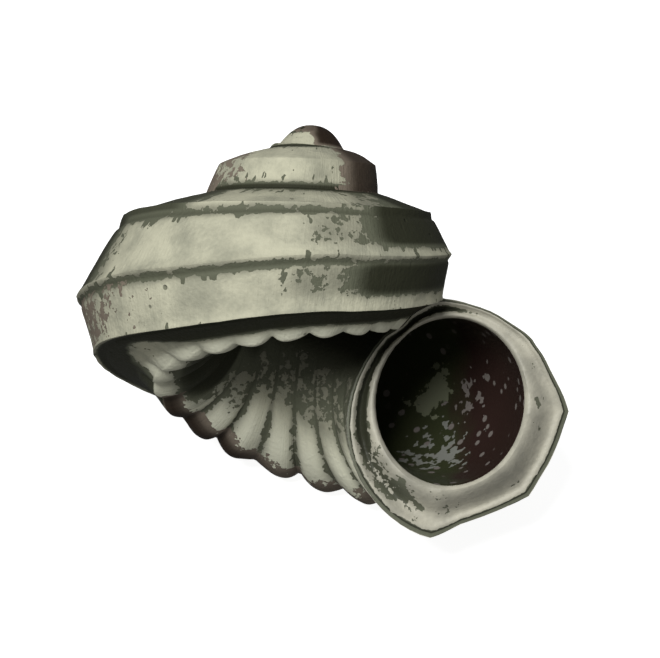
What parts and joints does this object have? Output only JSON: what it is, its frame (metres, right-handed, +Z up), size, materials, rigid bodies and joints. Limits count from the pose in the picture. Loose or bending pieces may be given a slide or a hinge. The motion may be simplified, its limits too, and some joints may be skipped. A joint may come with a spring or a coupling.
{
  "type": "sea snail shell",
  "caption": "Small turban-shaped sea snail shell with keeled whorls, a wide ribbed umbilicus and a round open mouth, lying on its back.",
  "frame": {"origin": "on the surface the shell lies on, under the middle of its outline seen from above", "axes": "+Z up, away from the surface; +X along the longest extent, from the far side of the last whorl to the outer lip; +Y towards the apex"},
  "size_m": [0.005, 0.0034, 0.0042],
  "materials": {
    "shell": "chalky, grey-olive, with dark stained hollows"
  },
  "bodies": {
    "root": {"shell": "shell"}
  },
  "joints": []
}
